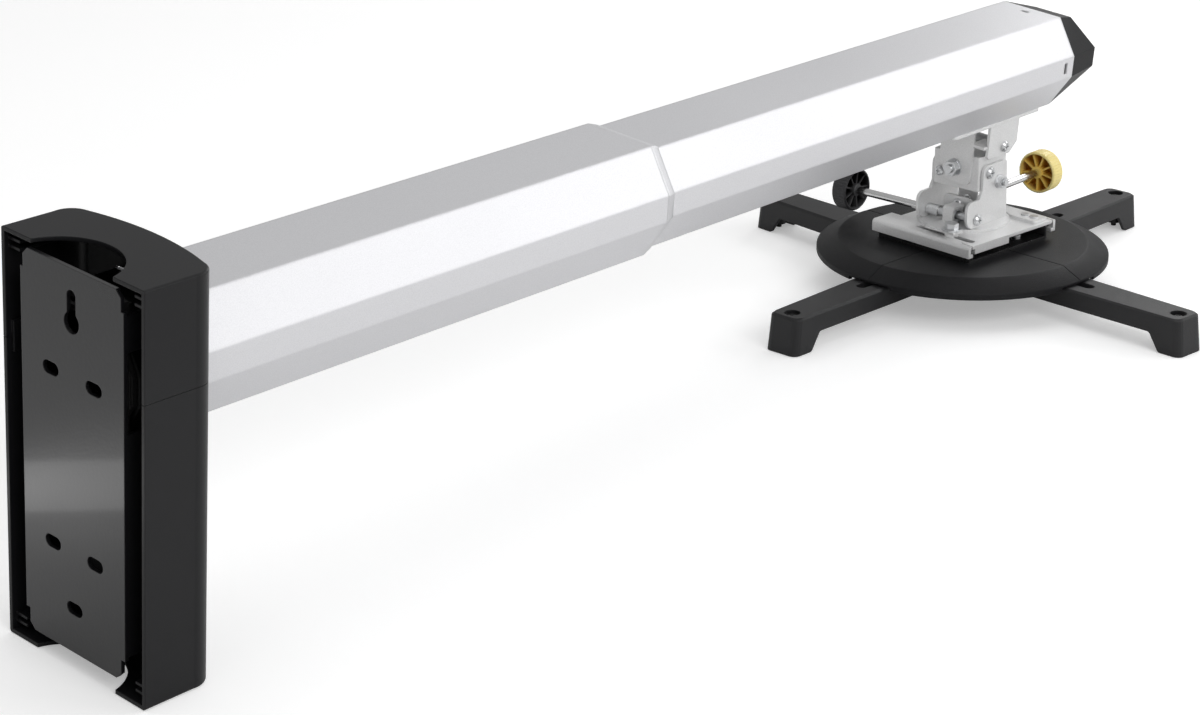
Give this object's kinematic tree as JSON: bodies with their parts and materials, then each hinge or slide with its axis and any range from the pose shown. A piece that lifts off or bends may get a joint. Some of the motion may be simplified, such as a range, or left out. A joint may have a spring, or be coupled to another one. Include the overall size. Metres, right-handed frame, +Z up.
{
  "type": "projector wall mount",
  "caption": "Wall plate under a black cover with a long telescopic facetted arm and a micro-adjust head that carries a disc with sliding legs.",
  "frame": {"origin": "on the wall plane at the middle of the four wall slots", "axes": "+X away from the wall along the arm, +Z up, Y across"},
  "size_m": [1.0075, 0.3948, 0.2408],
  "materials": {
    "cover": "satin black moulded",
    "plate_steel": "gloss black powder coat",
    "arm_silver": "satin silver extrusion",
    "cap_black": "black moulded",
    "head_steel": "silver grey powder coat",
    "zinc": "bright zinc",
    "disc_black": "fine textured black",
    "knob_ivory": "ivory moulded",
    "knob_black": "knurled black",
    "screw_black": "black oxide",
    "guide_white": "natural moulded"
  },
  "bodies": {
    "wall_frame": {"wall_plate": "plate_steel", "arm_socket": "plate_steel", "socket_nuts": "zinc", "arm_bolts": "zinc", "cover_upper": "cover", "cover_lower": "cover", "outer_tube": "arm_silver", "end_collar": "cap_black", "mouth_glides": "guide_white"},
    "arm_lock": {"arm_lock_screw": "knob_black"},
    "inner_arm": {"inner_tube": "arm_silver", "rear_guide": "guide_white", "end_cap": "cap_black", "hanger_bracket": "head_steel", "nut_plate": "zinc", "hanger_bolts": "zinc", "hanger_spacer": "zinc", "spacer_screws": "zinc"},
    "roll_head": {"roll_bolt": "zinc", "roll_nut": "zinc", "tilt_block": "head_steel", "tilt_nut": "zinc", "roll_lock_screw": "zinc", "tilt_bolt": "zinc", "tilt_bolt_nut": "zinc", "tilt_lock_screws": "zinc"},
    "tilt_head": {"yoke": "head_steel", "swivel_disc": "head_steel", "swivel_rivet": "zinc"},
    "tilt_knob": {"tilt_rod": "zinc", "tilt_wheel": "knob_ivory", "tilt_rod_screw": "zinc"},
    "slide_head": {"slide_plate": "head_steel", "latch_strip": "head_steel", "latch_rivets": "zinc", "swivel_clip": "head_steel", "swivel_nut": "zinc", "clip_bolt": "zinc", "clip_nut": "zinc"},
    "swivel_knob": {"swivel_rod": "zinc", "swivel_wheel": "knob_black", "swivel_rod_screw": "zinc"},
    "disc_unit": {"disc": "disc_black", "rail_plate": "head_steel", "rail_screws": "zinc"},
    "leg_clamp_1": {"leg_clamp_1": "zinc"},
    "leg_1": {"leg_1": "disc_black", "leg_tip_screw_1": "screw_black"},
    "leg_clamp_2": {"leg_clamp_2": "zinc"},
    "leg_2": {"leg_2": "disc_black", "leg_tip_screw_2": "screw_black"},
    "leg_clamp_3": {"leg_clamp_3": "zinc"},
    "leg_3": {"leg_3": "disc_black", "leg_tip_screw_3": "screw_black"},
    "leg_clamp_4": {"leg_clamp_4": "zinc"},
    "leg_4": {"leg_4": "disc_black", "leg_tip_screw_4": "screw_black"}
  },
  "joints": [
    {"name": "arm_slide", "type": "slide", "parent": "wall_frame", "child": "inner_arm", "axis": [1, 0, 0], "range_m": [-0.285, 0]},
    {"name": "arm_lock_turn", "type": "hinge", "parent": "wall_frame", "child": "arm_lock", "pos_m": [0.3877, 0, 0.012], "axis": [0, 0, 1], "range_deg": [0, 360]},
    {"name": "head_roll", "type": "hinge", "parent": "inner_arm", "child": "roll_head", "pos_m": [0.79, 0, -0.015], "axis": [1, 0, 0], "range_deg": [-3.25, 12.75]},
    {"name": "head_tilt", "type": "hinge", "parent": "roll_head", "child": "tilt_head", "pos_m": [0.8128, -0.00094, -0.02626], "axis": [0, 0.9966, -0.0828], "range_deg": [-8, 8]},
    {"name": "tilt_knob_turn", "type": "hinge", "parent": "tilt_head", "child": "tilt_knob", "pos_m": [0.85, -0.00236, -0.0434], "axis": [1, 0, 0], "range_deg": [-870, 870]},
    {"name": "head_swivel", "type": "hinge", "parent": "tilt_head", "child": "slide_head", "pos_m": [0.803, -0.00348, -0.05686], "axis": [0, 0.0828, 0.9966], "range_deg": [-2.1, 11.9]},
    {"name": "swivel_knob_turn", "type": "hinge", "parent": "tilt_head", "child": "swivel_knob", "pos_m": [0.7875, 0.04697, -0.05352], "axis": [0, 0.9966, -0.0828], "range_deg": [-210, 1170]},
    {"name": "quick_release_slide", "type": "slide", "parent": "slide_head", "child": "disc_unit", "axis": [0.0854, 0.9929, -0.0825], "range_m": [0, 0.08]},
    {"name": "leg_swing_1", "type": "hinge", "parent": "disc_unit", "child": "leg_clamp_1", "pos_m": [0.71114, -0.00072, -0.08418], "axis": [0, 0.0828, 0.9966], "range_deg": [-9.83, 6.17]},
    {"name": "leg_slide_1", "type": "slide", "parent": "leg_clamp_1", "child": "leg_1", "axis": [-0.9997, 0.0224, -0.0019], "range_m": [-0.02, 0.026]},
    {"name": "leg_swing_2", "type": "hinge", "parent": "disc_unit", "child": "leg_clamp_2", "pos_m": [0.79799, -0.09726, -0.07616], "axis": [0, 0.0828, 0.9966], "range_deg": [-6.73, 9.27]},
    {"name": "leg_slide_2", "type": "slide", "parent": "leg_clamp_2", "child": "leg_2", "axis": [-0.0765, -0.9936, 0.0826], "range_m": [-0.021, 0.025]},
    {"name": "leg_swing_3", "type": "hinge", "parent": "disc_unit", "child": "leg_clamp_3", "pos_m": [0.89486, -0.0107, -0.08335], "axis": [0, 0.0828, 0.9966], "range_deg": [-9.55, 6.45]},
    {"name": "leg_slide_3", "type": "slide", "parent": "leg_clamp_3", "child": "leg_3", "axis": [0.9996, -0.0273, 0.0023], "range_m": [-0.024, 0.022]},
    {"name": "leg_swing_4", "type": "hinge", "parent": "disc_unit", "child": "leg_clamp_4", "pos_m": [0.80801, 0.08583, -0.09137], "axis": [0, 0.0828, 0.9966], "range_deg": [-4.17, 11.83]},
    {"name": "leg_slide_4", "type": "slide", "parent": "leg_clamp_4", "child": "leg_4", "axis": [0.121, 0.9892, -0.0822], "range_m": [-0.014, 0.032]}
  ],
  "couplings": [
    {"joint": "tilt_knob_turn", "follows": "head_tilt", "ratio": 108},
    {"joint": "swivel_knob_turn", "follows": "head_swivel", "ratio": 98}
  ]
}
